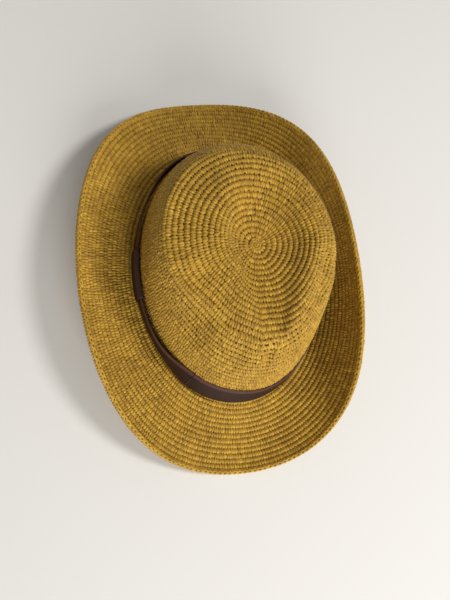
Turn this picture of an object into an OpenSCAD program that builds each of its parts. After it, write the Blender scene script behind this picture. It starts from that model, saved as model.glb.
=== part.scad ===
// Crocheted sun hat with a pinched crown, a rolled brim and a leather band.
// +Z is up as worn, the front faces -Y, and the origin is the centre of the head
// opening, in the plane where the crown turns into the brim. Millimetres.

/* [Crown] */
// Half width of the crown where it meets the brim, outside
crown_half_width = 77.5; // [76:0.5:79]
// Half length of the crown where it meets the brim, outside
crown_half_length = 108; // [107:0.5:109.5]
// Mean height of the ridge round the top of the crown
ridge_height = 72; // [70:1:76]
// Height of the middle of the crown, at the bottom of the dent
tip_height = 64; // [60:1:67]
// How far out the ridge lies, as a share of the way from the middle to the wall
ridge_share = 0.73; // [0.68:0.01:0.76]
// How far the two front pinches pull the ridge in, as a share
pinch_share = 0.15; // [0:0.01:0.18]
// Thickness of the crocheted crown
crown_thick = 2.6; // [2:0.1:3]

/* [Brim] */
// Width of the brim along its surface, from the crown wall to the rim
brim_width = 61.5; // [54:0.5:68]
// Mean slope of the brim where it leaves the crown, in degrees
brim_slope_in = -22; // [-30:1:-10]
// Mean slope of the brim at the rim, in degrees
brim_slope_out = 40; // [20:1:50]
// How much steeper the two sides roll up than the mean, in degrees
brim_side_roll = 37; // [10:1:40]
// How much more the left side as worn rolls up than the right, in degrees
brim_uneven_roll = 23; // [0:1:26]
// Thickness of the crocheted brim
brim_thick = 2.4; // [2:0.1:3]
// Radius of the last round, which is folded over the wire
edge_r = 2.3; // [2.1:0.1:2.6]
// Radius of the shaping wire in the rim
wire_r = 0.7; // [0.5:0.05:0.8]

/* [Hat band] */
// Width of the leather strap
band_width = 13; // [10:0.5:14]
// Thickness of the leather strap
band_thick = 1.6; // [1.2:0.1:2]
// Height of the strap's lower edge above the brim break
band_bottom = 3; // [3:0.5:5]
// Length of the leather keeper that covers the strap's ends
keeper_len = 40; // [36:1:52]
// Thickness of the keeper's leather
keeper_thick = 1.2; // [1:0.1:1.3]
// Clearance between the keeper and the strap, all round
keeper_clear = 0.3; // [0.25:0.05:0.35]

/* [Sweatband] */
// Width of the inner ribbon
sweat_width = 30; // [24:1:34]
// Thickness of the inner ribbon
sweat_thick = 0.9; // [0.7:0.1:1.2]

/* [Hidden] */
// Steps round the hat, and rings in each surface
around = 72;
around_rim = 120;
tip_rings = 12;
side_rings = 13;
brim_rings = 10;
edge_sides = 10;
channel_sides = 10;
wire_sides = 6;
step = 360 / around;

// Place of the middle of the crown, a little off the centre of the opening
tip_x = 4.9;
tip_y = 8.2;
// Ridge height: higher at the two sides, and a little higher at the back and the left
ridge_side_rise = 4.3;
ridge_back_rise = 1;
ridge_left_rise = 1;
// Ridge place: further out at the sides, the back and the left, in at the pinches
side_share = 0.09;
back_share = 0.06;
left_share = 0.06;
prow_share = 0.07;
prow_spread = 25;
pinch_angle = 56;
pinch_spread = 18;
pinch_drop = 1;
// The dent's slope ends at this share of the way to the ridge
dent_share = 0.8;
// Teardrop dent in the top: its middle, half width, reach to the back and the front, and how
// far it narrows toward the front; then the crest round it and the depth of its bowl
dent_x = 12;
dent_y = 8;
dent_half = 38;
dent_back = 60;
dent_front = 65;
dent_taper = 0.63;
dent_bend = 4;
dent_flat = 0.72;
crest_rise = 3.5;
crest_spread = 10;
crest_fade = 0.7;
bowl_drop = 3.6;
// The left of the crown falls away outside the crest
left_drop = 6;
left_spread = 30;
// Pinch creases: depth, width and the two ends of each in plan
left_crease_spread = 11;
right_crease_spread = 9;
left_crease = 7;
left_crease_ends = [[-47, -18], [-14, -68]];
right_crease = 5;
right_crease_ends = [[60, -12], [52, -32]];
// The dent, crest and creases fade out on the wall between these heights
relief_low = 33;
relief_high = 52;
// Roundness of the shoulder between ridge and wall: 1 is a cone, larger is squarer
shoulder_mean = 1.75;
shoulder_right = 0.4;
shoulder_back = 0.34;
shoulder_sides = 0.29;
// Gap that keeps two surfaces apart
gap = 0.25;
seam_gap = 0.38;
tiny = 0.01;

// Brim: slope from front to side where it starts, and how early it bends
brim_slope_in_side = 12;
brim_bend_power = 0.5;
brim_flat_start = 8;
brim_start_in = crown_thick;
brim_start_z = -brim_thick / 2 - 0.3;
brim_full = brim_width + brim_start_in;
brim_plate = brim_full - 2 * edge_r - gap;
channel_r = 1.6;
sleeve_r_out = 1.2;
sleeve_r_in = 0.95;
sleeve_half_angle = 2.2;
wire_gap_angle = 0.3;

// Strap: an oval of four arcs, set off to one side to leave room for the keeper
band_shift = -1.05;
band_half_width = crown_half_width + 1.65;
band_half_length = crown_half_length + 0.6;
end_r = 66;
end_y = band_half_length - end_r;
side_r = (pow(band_half_width, 2) + pow(end_y, 2) - pow(end_r, 2)) / (2 * (band_half_width - end_r));
side_x = side_r - band_half_width;
join_angle = atan2(end_y, side_x);
band_top = band_bottom + band_width;
strap_end_gap = 0.25;
// Toward the front the strap leans in on the sloping wall; it stands upright where the
// keeper runs. Both are degrees away from the front.
hug_end = 64;
hug_fade = 26;
hug_clear = 0.45;
keeper_half = keeper_len / 2 / side_r * 180 / PI;
seam_thread_r = 0.22;
seam_stitch_len = 1.9;
seam_stitches = 4;

tack_angles = [45, 135, 225, 315];
tack_r = 0.3;
tack_reach = 0.3;

// Sweatband: stands inside the crown, its lower edge level with the brim break
sweat_bottom = 1;
sweat_top = sweat_bottom + sweat_width;
sweat_near = crown_thick + 3.5 * gap;
sweat_lap = 0.3;
stitch_count = 44;
stitch_len = 5;
stitch_r = 0.3;
stitch_z = sweat_bottom + 2.5;
tab_half_angle = 7;
tab_bottom = 8;
tab_top = 22;
tab_thick = 0.5;

straw = [0.72, 0.53, 0.16];
straw_edge = [0.78, 0.58, 0.18];
leather_brown = [0.22, 0.12, 0.09];
thread_brown = [0.3, 0.17, 0.11];
ribbon_tan = [0.62, 0.5, 0.3];
steel = [0.6, 0.6, 0.62];

$fn = 120;

// ---- small helpers ----

function unit(v) = v / norm(v);
function hump(x, spread) = exp(-pow(x / spread, 2));

// Degrees away from the front of the hat, 0 to 180, for a place t degrees round
function from_front(t) = abs(((t + 270) % 360 + 360) % 360 - 180);

// A point of the crown's base oval at t degrees, and the outward direction there
function base_point(t) = [crown_half_width * cos(t), crown_half_length * sin(t)];
function base_out(t) = unit([cos(t) / crown_half_width, sin(t) / crown_half_length]);
function out_angle(t) = let (n = base_out(t)) atan2(n.y, n.x);

// ---- crown surface ----

function pinch(t) = hump(from_front(t) - pinch_angle, pinch_spread);
function ridge_out(t) = ridge_share + side_share * cos(2 * t) + back_share * sin(t)
    - left_share * cos(t) + prow_share * hump(from_front(t), prow_spread) - pinch_share * pinch(t);
function ridge_z(t) = ridge_height + ridge_side_rise * cos(2 * t) + ridge_back_rise * sin(t)
    - ridge_left_rise * cos(t) - pinch_drop * pinch(t);
function shoulder(t) = shoulder_mean + shoulder_right * cos(t) + shoulder_back * sin(t)
    + shoulder_sides * cos(2 * t);

// From the middle (u = 0) over the ridge (u = 1) to the wall's foot (u = 2):
// the share of the way out, and the height
function dish(t, u) = let (v = min(1, u / dent_share))
    [ridge_out(t) * u, tip_height + (ridge_z(t) - tip_height) * v * v * (3 - 2 * v)];
function wall(t, a) = let (e = 2 / shoulder(t))
    [ridge_out(t) + (1 - ridge_out(t)) * pow(sin(a), e), ridge_z(t) * pow(max(cos(a), 0), e)];
function profile(t, u) = u <= 1 ? dish(t, u) : wall(t, 90 * (u - 1));
// 1 along the line between two ends, falling away to each side of it
function trough(p, ends, spread) = let (run = ends[1] - ends[0],
        share = min(1, max(0, (p - ends[0]) * run / (run * run))))
    hump(norm(p - ends[0] - share * run), spread);
// Height of the dent, the crest round it and the creases, over a point p in plan
function relief(p) = let (
        ahead = min(1.3, max(0, (dent_y - p.y) / dent_front)),
        half = dent_half * (1 - dent_taper * pow(ahead, 1.15)),
        out = norm([(p.x - dent_x + dent_bend * ahead) / half, max(0, p.y - dent_y) / dent_back]),
        past = (out - 1) * half,
        left = min(1, max(0, (10 - p.x) / 40)),
        fade = min(1, max(0, (ahead - crest_fade) / 0.5)))
    crest_rise * hump(past, crest_spread) * (1 - fade * fade * (3 - 2 * fade))
    - bowl_drop * exp(-pow(out / dent_flat, 5))
    - (past > 0 ? left_drop * left * (1 - hump(past, left_spread)) : 0)
    - left_crease * trough(p, left_crease_ends, left_crease_spread)
    - right_crease * trough(p, right_crease_ends, right_crease_spread);
function crown_outer(t, u) = let (p = profile(t, u), b = base_point(t),
        x = tip_x + p[0] * (b.x - tip_x), y = tip_y + p[0] * (b.y - tip_y),
        s = min(1, max(0, (p[1] - relief_low) / (relief_high - relief_low))))
    [x, y, p[1] + relief([x, y]) * s * s * (3 - 2 * s)];
function crown_normal(t, u) = let (
        du = crown_outer(t, min(u + tiny, 2)) - crown_outer(t, max(u - tiny, tiny)),
        dt = crown_outer(t + 1, u) - crown_outer(t - 1, u))
    unit(cross(du, dt));
function crown_point(t, u, depth) = crown_outer(t, u) - depth * crown_normal(t, u);
// The seam on the ridge, one shared direction through the cloth: side is -1 for the dished
// top and 1 for the wall
function seam_point(t, side, depth) = let (
        du = unit(crown_outer(t, 1 + tiny) - crown_outer(t, 1 - tiny)))
    crown_outer(t, 1) + side * seam_gap / 2 * du - depth * crown_normal(t, 1);
// The wall's foot, cut level and measured straight in
function foot_point(t, depth) = let (b = base_point(t), n = base_out(t))
    [b.x - depth * n.x, b.y - depth * n.y, 0];

// The wall at a height z, moved in by depth, found from the superellipse itself
function wall_angle(t, z) = acos(pow(z / ridge_z(t), shoulder(t) / 2));
function wall_point(t, z, depth) = let (p = crown_outer(t, 1 + wall_angle(t, z) / 90), n = base_out(t))
    [p.x - depth * n.x, p.y - depth * n.y, z];

// ---- brim surface ----

function slope_in(t) = brim_slope_in + brim_slope_in_side * cos(2 * out_angle(t));
function slope_out(t) = brim_slope_out + brim_side_roll * cos(2 * out_angle(t))
    + brim_uneven_roll * cos(out_angle(t));
// Slope at a share s of the way to the rim: level at first, then bending up
function brim_slope(t, s) = min(1, s * brim_full / brim_flat_start)
    * (slope_in(t) + (slope_out(t) - slope_in(t)) * pow(s, brim_bend_power));
// Distance out and height, step by step, for lengths that are multiples of ds
function brim_walk(t, count, ds, i = 0, out = 0, z = 0) = i == count ? [[out, z]] :
    let (a = brim_slope(t, (i + 0.5) * ds / brim_full))
    concat([[out, z]], brim_walk(t, count, ds, i + 1, out + ds * cos(a), z + ds * sin(a)));
function brim_at(t, out, z) = let (b = base_point(t), n = base_out(t), d = out - brim_start_in)
    [b.x + d * n.x, b.y + d * n.y, brim_start_z + z];
function brim_face(t, walk, ds, i, side) = let (
        a = brim_slope(t, i * ds / brim_full),
        h = side * brim_thick / 2)
    brim_at(t, walk[i][0] - h * sin(a), walk[i][1] + h * cos(a));

// Middle of the rim, and a circle of radius r round it in the upright plane
rim_steps = 24;
function rim_place(t) = let (ds = (brim_full - edge_r) / rim_steps) brim_walk(t, rim_steps, ds)[rim_steps];
function rim_ring_point(t, r, b) = let (c = rim_place(t)) brim_at(t, c[0] + r * cos(b), c[1] + r * sin(b));

// ---- meshes ----

function tri_pair(a, b, c, d) = [[a, d, c], [a, c, b]];

// A closed surface from rings of points that each run once round the hat
module ring_mesh(rings) {
    n = len(rings[0]);
    k = len(rings);
    polyhedron([for (ring = rings) each ring], [for (j = [0 : k - 1], i = [0 : n - 1])
        let (j2 = (j + 1) % k, i2 = (i + 1) % n)
        each tri_pair(j * n + i, j2 * n + i, j2 * n + i2, j * n + i2)], convexity = 10);
}

// A dished sheet: rings from the top middle, out, round its edge and back underneath
module dish_mesh(top, rings, under) {
    n = len(rings[0]);
    k = len(rings);
    last = k * n + 1;
    polyhedron(concat([top], [for (ring = rings) each ring], [under]), concat(
        [for (i = [0 : n - 1]) [0, 1 + (i + 1) % n, 1 + i]],
        [for (j = [0 : k - 2], i = [0 : n - 1]) let (i2 = (i + 1) % n)
            each tri_pair(1 + j * n + i, 1 + (j + 1) * n + i, 1 + (j + 1) * n + i2, 1 + j * n + i2)],
        [for (i = [0 : n - 1]) [last, 1 + (k - 1) * n + i, 1 + (k - 1) * n + (i + 1) % n]]), convexity = 10);
}

// A bar swept through a list of equal sections, closed at both ends
module bar_mesh(sections) {
    n = len(sections[0]);
    k = len(sections);
    polyhedron([for (s = sections) each s], concat(
        [[for (i = [0 : n - 1]) i]],
        [for (j = [0 : k - 2], i = [0 : n - 1]) let (i2 = (i + 1) % n)
            each tri_pair(j * n + i, j * n + i2, (j + 1) * n + i2, (j + 1) * n + i)],
        [[for (i = [0 : n - 1]) k * n - 1 - i]]), convexity = 10);
}

// ---- crocheted pieces ----

module crown_tip() {
    function ring(j, depth) = [for (i = [0 : around - 1]) j == tip_rings
        ? seam_point(i * step, -1, depth) : crown_point(i * step, j / tip_rings, depth)];
    color(straw)
    dish_mesh(crown_outer(0, 0),
        concat([for (j = [1 : tip_rings]) ring(j, 0)], [for (j = [tip_rings : -1 : 1]) ring(j, crown_thick)]),
        crown_outer(0, 0) - [0, 0, crown_thick]);
}

module crown_side() {
    function point(t, j, depth) = j == 0 ? seam_point(t, 1, depth)
        : j == side_rings ? foot_point(t, depth)
        : crown_point(t, 1 + pow(j / side_rings, 0.8), depth);
    function ring(j, depth) = [for (i = [0 : around - 1]) point(i * step, j, depth)];
    color(straw)
    ring_mesh(concat([for (j = [0 : side_rings]) ring(j, 0)],
        [for (j = [side_rings : -1 : 0]) ring(j, crown_thick)]));
}

module brim() {
    ds = brim_plate / brim_rings;
    walks = [for (i = [0 : around - 1]) brim_walk(i * step, brim_rings, ds)];
    color(straw)
    ring_mesh(concat(
        [for (j = [0 : brim_rings]) [for (i = [0 : around - 1]) brim_face(i * step, walks[i], ds, j, 1)]],
        [for (j = [brim_rings : -1 : 0]) [for (i = [0 : around - 1])
            brim_face(i * step, walks[i], ds, j, -1)]]));
}

module rim_tube(r, sides) {
    ring_mesh([for (k = [0 : sides - 1]) [for (i = [0 : around_rim - 1])
        rim_ring_point(i * 360 / around_rim, r, -360 * k / sides)]]);
}

// The last round, folded over the wire
module brim_edge() {
    color(straw_edge)
    difference() {
        rim_tube(edge_r, edge_sides);
        rim_tube(channel_r, channel_sides);
    }
}

module rim_bar(t0, t1, steps, r, sides) {
    bar_mesh([for (i = [0 : steps]) [for (k = [0 : sides - 1])
        rim_ring_point(t0 + (t1 - t0) * i / steps, r, -360 * k / sides)]]);
}

module brim_wire() {
    color(steel)
    rim_bar(90 + wire_gap_angle, 450 - wire_gap_angle, around_rim, wire_r, wire_sides);
}

// Crimped tube that joins the wire's ends at the back
module wire_sleeve() {
    color(steel)
    difference() {
        rim_bar(90 - sleeve_half_angle, 90 + sleeve_half_angle, 4, sleeve_r_out, 12);
        rim_bar(89.5 - sleeve_half_angle, 90.5 + sleeve_half_angle, 4, sleeve_r_in, 12);
    }
}

// ---- leather pieces ----

// One arc of the strap's oval, as a list of points
function arc_points(centre, r, angle_from, angle_to, steps) = [for (i = [0 : steps])
    let (a = angle_from + (angle_to - angle_from) * i / steps) centre + r * [cos(a), sin(a)]];
// The whole run of the strap, from the end on the left side round to the other end
function strap_run(out) = concat(
    arc_points([side_x, 0], side_r + out, 180 + strap_end_gap, 180 + join_angle, 16),
    arc_points([0, -end_y], end_r + out, 180 + join_angle + 3, 360 - join_angle, 34),
    arc_points([-side_x, 0], side_r + out, 2.5 - join_angle, join_angle, 30),
    arc_points([0, end_y], end_r + out, join_angle + 3, 180 - join_angle, 34),
    arc_points([side_x, 0], side_r + out, 182.5 - join_angle, 180 - strap_end_gap, 16));

// How far the strap's top edge leans in at a point p of its inner face
function hug(t) = let (s = min(1, max(0, (hug_end - from_front(t)) / hug_fade))) s * s * (3 - 2 * s);
function strap_lean(p) = let (t = atan2(p.y / crown_half_length, p.x / crown_half_width),
        w = wall_point(t, band_top, 0), n = base_out(t))
    hug(t) * max(0, (p - [w.x, w.y]) * n - hug_clear);

// The strap, cut to end behind the keeper
module hat_band() {
    inner = strap_run(0);
    outer = strap_run(band_thick);
    color(leather_brown)
    bar_mesh([for (i = [0 : len(inner) - 1]) let (
            shift = [band_shift, 0],
            lean = strap_lean(inner[i] + shift) * unit(outer[i] - inner[i]),
            near = inner[i] + shift, far = outer[i] + shift)
        [[far.x - lean.x, far.y - lean.y, band_top], [far.x, far.y, band_bottom],
            [near.x, near.y, band_bottom], [near.x - lean.x, near.y - lean.y, band_top]]]);
}

// A leather sleeve, open at both ends, that runs along the strap
module band_keeper() {
    reach = keeper_clear + keeper_thick;
    color(leather_brown)
    translate([band_shift + side_x, 0, 0])
    rotate([0, 0, 180 - keeper_half])
    rotate_extrude(angle = 2 * keeper_half)
    difference() {
        translate([side_r - reach, band_bottom - reach])
        square([band_thick + 2 * reach, band_width + 2 * reach]);
        translate([side_r - keeper_clear, band_bottom - keeper_clear])
        square([band_thick + 2 * keeper_clear, band_width + 2 * keeper_clear]);
    }
}

// Thread stitches that close the sleeve behind the strap
module keeper_seam() {
    back_r = side_r - keeper_clear - keeper_thick - seam_thread_r;
    color(thread_brown)
    translate([band_shift + side_x, 0, band_bottom + band_width / 2])
    for (side = [-1, 1], i = [0 : seam_stitches - 1])
        rotate([0, 0, 180 + side * (keeper_half - 1)])
        translate([back_r, 0, (i - (seam_stitches - 1) / 2) * (seam_stitch_len + 1)])
        cylinder(r = seam_thread_r, h = seam_stitch_len, center = true, $fn = 24);
}

// Thread tacks that hold the strap to the crown, each a loop round the strap's edges
module band_tacks() {
    front = band_thick + tack_r + gap;
    color(thread_brown)
    for (a = tack_angles) {
        foot = [band_shift + end_r * cos(a), sign(sin(a)) * end_y + end_r * sin(a)];
        tilt = atan(strap_lean(foot) / band_width);
        low = -tack_r - gap - band_thick * sin(tilt);
        high = band_width / cos(tilt) + tack_r + gap;
        translate([foot.x, foot.y, band_bottom])
        rotate([0, 0, a])
        rotate([0, -tilt, 0]) {
            translate([front, 0, low])
            cylinder(r = tack_r, h = high - low, $fn = 24);
            for (z = [low, high])
                translate([-tack_reach, 0, z])
                rotate([0, 90, 0])
                cylinder(r = tack_r, h = front + tack_reach, $fn = 24);
        }
    }
}

// ---- inside the crown ----

// A strip that lies inside the wall between two depths, from one height to another
function strip_section(t, low, high, near, far) = [
    wall_point(t, high, near), wall_point(t, (high + low) / 2, near),
    wall_point(t, low, near), wall_point(t, low, far), wall_point(t, (high + low) / 2, far),
    wall_point(t, high, far)];

module sweatband() {
    color(ribbon_tan)
    bar_mesh([for (i = [0 : around_rim]) let (t = 90 + sweat_lap + (360 - 2 * sweat_lap) * i / around_rim)
        strip_section(t, sweat_bottom, sweat_top, sweat_near, sweat_near + sweat_thick)]);
}

// The thread line that sews the ribbon in, one dash a stitch
module sweatband_stitches() {
    depth = sweat_near + sweat_thick + stitch_r + 1.5 * gap;
    color(thread_brown)
    for (i = [0 : stitch_count - 1]) {
        t = (i + 0.5) * 360 / stitch_count;
        translate(wall_point(t, stitch_z, depth))
        rotate([0, 0, out_angle(t)])
        rotate([90, 0, 0])
        cylinder(r = stitch_r, h = stitch_len, center = true, $fn = 16);
    }
}

// A plain cloth tab at the back, where a size would be marked
module size_tab() {
    near = sweat_near + sweat_thick + 2 * gap;
    steps = 4;
    color("white")
    bar_mesh([for (i = [0 : steps]) let (t = 90 - tab_half_angle + 2 * tab_half_angle * i / steps)
        strip_section(t, tab_bottom, tab_top, near, near + tab_thick)]);
}

crown_tip();
crown_side();
brim();
brim_edge();
brim_wire();
wire_sleeve();
hat_band();
band_keeper();
keeper_seam();
band_tacks();
sweatband();
sweatband_stitches();
size_tab();
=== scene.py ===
import math

import bpy
import numpy as np
from mathutils import Matrix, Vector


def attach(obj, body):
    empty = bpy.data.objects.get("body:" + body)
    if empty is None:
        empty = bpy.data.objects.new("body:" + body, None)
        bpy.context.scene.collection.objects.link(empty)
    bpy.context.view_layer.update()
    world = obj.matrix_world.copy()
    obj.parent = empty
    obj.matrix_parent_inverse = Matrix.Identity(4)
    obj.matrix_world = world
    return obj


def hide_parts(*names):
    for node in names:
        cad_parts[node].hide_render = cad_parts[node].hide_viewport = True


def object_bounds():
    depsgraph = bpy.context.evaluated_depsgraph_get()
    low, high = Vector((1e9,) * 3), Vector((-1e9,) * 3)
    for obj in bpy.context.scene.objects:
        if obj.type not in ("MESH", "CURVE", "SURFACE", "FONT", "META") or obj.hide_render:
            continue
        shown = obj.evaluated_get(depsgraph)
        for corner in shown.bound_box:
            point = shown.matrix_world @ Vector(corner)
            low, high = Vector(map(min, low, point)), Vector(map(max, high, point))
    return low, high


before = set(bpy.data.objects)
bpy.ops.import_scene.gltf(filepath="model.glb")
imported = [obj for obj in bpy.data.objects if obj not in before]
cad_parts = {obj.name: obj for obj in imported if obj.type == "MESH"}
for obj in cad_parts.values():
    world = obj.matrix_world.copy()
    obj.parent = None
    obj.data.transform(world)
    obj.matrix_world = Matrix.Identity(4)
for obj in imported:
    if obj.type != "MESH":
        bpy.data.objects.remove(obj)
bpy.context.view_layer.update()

# ---------------------------------------------------------------- sizes
# Millimetres until a mesh is written. The surfaces follow the same rules as the CAD solids.
MM = 0.001
HALF_WIDTH, HALF_LENGTH = 77.5, 108.0       # crown's foot, outside
CROWN_THICK = 2.6
TIP = np.array([4.9, 8.2, 64.0])            # middle of the crown's top
RIDGE_SHARE, RIDGE_HEIGHT = 0.73, 72.0
DENT_SHARE = 0.8
DENT_X, DENT_Y = 12.0, 8.0                  # middle of the teardrop dent
DENT_HALF, DENT_BACK, DENT_FRONT, DENT_TAPER = 38.0, 60.0, 65.0, 0.63
DENT_BEND, DENT_FLAT = 4, 0.72              # its line bends to one side; share of it that is flat
CREST_SPREAD, LEFT_SPREAD = 10, 30
LEFT_PINCH_ENDS, LEFT_PINCH_SPREAD = ((-47, -18), (-14, -68)), 11
RIGHT_PINCH_ENDS, RIGHT_PINCH_SPREAD = ((60, -12), (52, -32)), 9
CREST_RISE, BOWL_DROP, LEFT_DROP, LEFT_PINCH, RIGHT_PINCH = 3.5, 3.6, 6.0, 7.0, 5.0
CREST_FADE = 0.7                            # the crest fades where the dent runs out in front
RELIEF_LOW, RELIEF_HIGH = 33.0, 52.0        # the relief fades out between these heights
BRIM_WIDTH, BRIM_START_Z = 61.5, -1.5
EDGE_R = 2.3
CROWN_ROUNDS, BRIM_ROUNDS = 34, 15
STITCH = 4.3                                # one stitch along its round
LARGEST_PIECE = 600                         # stitches in one mesh

BAND_SHIFT, BAND_WIDTH, BAND_THICK, BAND_BOTTOM = -1.05, 13.0, 1.6, 3.0
END_R = 66.0
BURNISH_AND_HIGHLIGHT = 2.2                             # strip along the leather's top edge painted paler: painted highlight of the rounded edge, with some burnished wear
KEEPER_LENGTH, KEEPER_THICK, KEEPER_CLEAR = 40.0, 1.2, 0.3


def hump(x, spread):
    return np.exp(-(x / spread) ** 2)


def from_front(t):
    """Degrees away from the front of the hat, 0 to 180."""
    return np.abs((np.degrees(t) + 270) % 360 - 180)


def base_point(t):
    """A point of the crown's foot, an oval, for the angle t."""
    return np.stack([HALF_WIDTH * np.cos(t), HALF_LENGTH * np.sin(t)], -1)


def base_out(t):
    """The level direction straight out of the foot's oval."""
    n = np.stack([np.cos(t) / HALF_WIDTH, np.sin(t) / HALF_LENGTH], -1)
    return n / np.linalg.norm(n, axis=-1, keepdims=True)


def unit(v):
    return v / np.maximum(np.linalg.norm(v, axis=-1, keepdims=True), 1e-9)


# ---------------------------------------------------------------- surfaces
def ridge_out(t):
    return (RIDGE_SHARE + 0.09 * np.cos(2 * t) + 0.06 * np.sin(t) - 0.06 * np.cos(t)
            + 0.07 * hump(from_front(t), 25) - 0.15 * hump(from_front(t) - 56, 18))


def ridge_z(t):
    return (RIDGE_HEIGHT + 4.3 * np.cos(2 * t) + np.sin(t) - np.cos(t)
            - hump(from_front(t) - 56, 18))


def shoulder(t):
    return 1.75 + 0.4 * np.cos(t) + 0.34 * np.sin(t) + 0.29 * np.cos(2 * t)


def trough(x, y, start, end, width):
    """1 along the line from start to end, falling away to each side of it."""
    run = np.subtract(end, start)
    share = np.clip(((x - start[0]) * run[0] + (y - start[1]) * run[1]) / (run @ run), 0, 1)
    gap = np.hypot(x - start[0] - share * run[0], y - start[1] - share * run[1])
    return np.exp(-(gap / width) ** 2)


def relief(x, y):
    """Height of the teardrop dent, the crest round it and the two front pinches."""
    ahead = np.clip((DENT_Y - y) / DENT_FRONT, 0, 1.3)
    half = DENT_HALF * (1 - DENT_TAPER * ahead ** 1.15)
    behind = np.maximum(0, y - DENT_Y) / DENT_BACK
    rho = np.hypot((x - DENT_X + DENT_BEND * ahead) / half, behind)
    past = (rho - 1) * half
    fade = np.clip((ahead - CREST_FADE) / 0.5, 0, 1)
    crest = CREST_RISE * np.exp(-(past / CREST_SPREAD) ** 2) * (1 - fade * fade * (3 - 2 * fade))
    bowl = -BOWL_DROP * np.exp(-(rho / DENT_FLAT) ** 5)
    left = np.clip((10 - x) / 40, 0, 1)
    fall = -LEFT_DROP * left * np.where(past > 0, 1 - np.exp(-(past / LEFT_SPREAD) ** 2), 0)
    pinch = (-LEFT_PINCH * trough(x, y, *LEFT_PINCH_ENDS, LEFT_PINCH_SPREAD)
             - RIGHT_PINCH * trough(x, y, *RIGHT_PINCH_ENDS, RIGHT_PINCH_SPREAD))
    return crest + bowl + fall + pinch


def crown_outer(t, u):
    """Outside of the crown: u is 0 in the middle, 1 at the ridge and 2 at the foot."""
    inner = np.clip(u, 0, 1)
    v = np.minimum(1, inner / DENT_SHARE)
    a = np.clip(u - 1, 0, 1) * math.pi / 2
    e = 2 / shoulder(t)
    rr, rz = ridge_out(t), ridge_z(t)
    share = np.where(u <= 1, rr * inner, rr + (1 - rr) * np.sin(a) ** e)
    z = np.where(u <= 1, TIP[2] + (rz - TIP[2]) * v * v * (3 - 2 * v),
                 rz * np.clip(np.cos(a), 0, 1) ** e)
    b = base_point(t)
    x = TIP[0] + share * (b[..., 0] - TIP[0])
    y = TIP[1] + share * (b[..., 1] - TIP[1])
    fade = np.clip((z - RELIEF_LOW) / (RELIEF_HIGH - RELIEF_LOW), 0, 1)
    return np.stack([x, y, z + relief(x, y) * fade * fade * (3 - 2 * fade)], -1)


def lengths(points):
    """Length along each row of points, from its first point."""
    steps = np.linalg.norm(np.diff(points, axis=1), axis=2)
    return np.concatenate([np.zeros((len(points), 1)), np.cumsum(steps, 1)], 1)


SECTORS, FINE = 720, 10                     # table columns round the hat, rows in one round


def crown_table():
    """Middle of the crown's cloth at every tenth of a round, for every half degree."""
    t = np.arange(SECTORS) * 2 * math.pi / SECTORS
    u = np.concatenate([np.linspace(0, 1, 60), 1 + np.linspace(0, 1, 240)[1:]])
    surface = crown_outer(t[:, None] + 0 * u, 0 * t[:, None] + u)
    along = lengths(surface)
    k = np.arange(CROWN_ROUNDS * FINE + 1) / FINE
    # rounds are stretched where the front bends over the ridge
    weight = 1 + 0.36 * hump(k[None] - 17.3, 2.0) * hump(from_front(t)[:, None], 35)
    share = np.concatenate([np.zeros((SECTORS, 1)),
                            np.cumsum((weight[:, 1:] + weight[:, :-1]) / 2, 1)], 1)
    share /= share[:, -1:]
    rows = np.zeros((SECTORS, len(k), 3))
    for i in range(SECTORS):
        for j in range(3):
            rows[i, :, j] = np.interp(share[i] * along[i, -1], along[i], surface[i, :, j])
    return rows


def brim_slope(t, s):
    """Slope of the brim in radians, at a share s of the way from the crown to the rim."""
    n = base_out(t)
    phi = np.arctan2(n[..., 1], n[..., 0])
    start = -22 + 12 * np.cos(2 * phi)
    end = 40 + 37 * np.cos(2 * phi) + 23 * np.cos(phi)
    ramp = np.minimum(1, s * (BRIM_WIDTH + CROWN_THICK) / 8)
    return np.radians(ramp * (start + (end - start) * s ** 0.5))


def brim_table():
    """Middle of the brim's cloth, out to the middle of the rim."""
    t = np.arange(SECTORS) * 2 * math.pi / SECTORS
    full = BRIM_WIDTH + CROWN_THICK
    n = BRIM_ROUNDS * FINE
    reach = full - EDGE_R
    s = (np.arange(n) + 0.5) / n * reach / full
    a = brim_slope(t[:, None], s[None])
    step = reach / n
    out = np.concatenate([np.zeros((SECTORS, 1)), np.cumsum(np.cos(a) * step, 1)], 1)
    z = np.concatenate([np.zeros((SECTORS, 1)), np.cumsum(np.sin(a) * step, 1)], 1)
    out = out - CROWN_THICK
    b, m = base_point(t), base_out(t)
    return np.stack([b[:, None, 0] + out * m[:, None, 0],
                     b[:, None, 1] + out * m[:, None, 1], BRIM_START_Z + z], -1)


class Cloth:
    """A table of points and outward directions, read at any angle and round."""

    def __init__(self, rows, depth=0.0):
        ahead, behind = np.roll(rows, -1, 0), np.roll(rows, 1, 0)
        du = np.gradient(rows, axis=1)
        normal = unit(np.cross(du, ahead - behind))
        if np.allclose(rows[:, 0], rows[0, 0]):
            normal[:, 0] = normal[:, 1].mean(0)
        self.n = unit(normal)
        self.x = rows - depth * self.n

    def _read(self, table, t, k):
        a = (t / (2 * math.pi) * SECTORS) % SECTORS
        r = np.clip(k * FINE, 0, table.shape[1] - 1.001)
        i, j = a.astype(int), r.astype(int)
        fa, fr = (a - i)[..., None], (r - j)[..., None]
        i2 = (i + 1) % SECTORS
        i = i % SECTORS
        return ((table[i, j] * (1 - fa) + table[i2, j] * fa) * (1 - fr)
                + (table[i, j + 1] * (1 - fa) + table[i2, j + 1] * fa) * fr)

    def at(self, t, k, height=0.0):
        t, k = np.broadcast_arrays(np.asarray(t, float), np.asarray(k, float))
        n = unit(self._read(self.n, t, k))
        return self._read(self.x, t, k) + np.asarray(height, float)[..., None] * n

    def pace(self, t, k):
        """Millimetres along the round for one radian."""
        d = 0.01
        return float(np.linalg.norm(self.at(t + d, k) - self.at(t - d, k)) / (2 * d))


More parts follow.
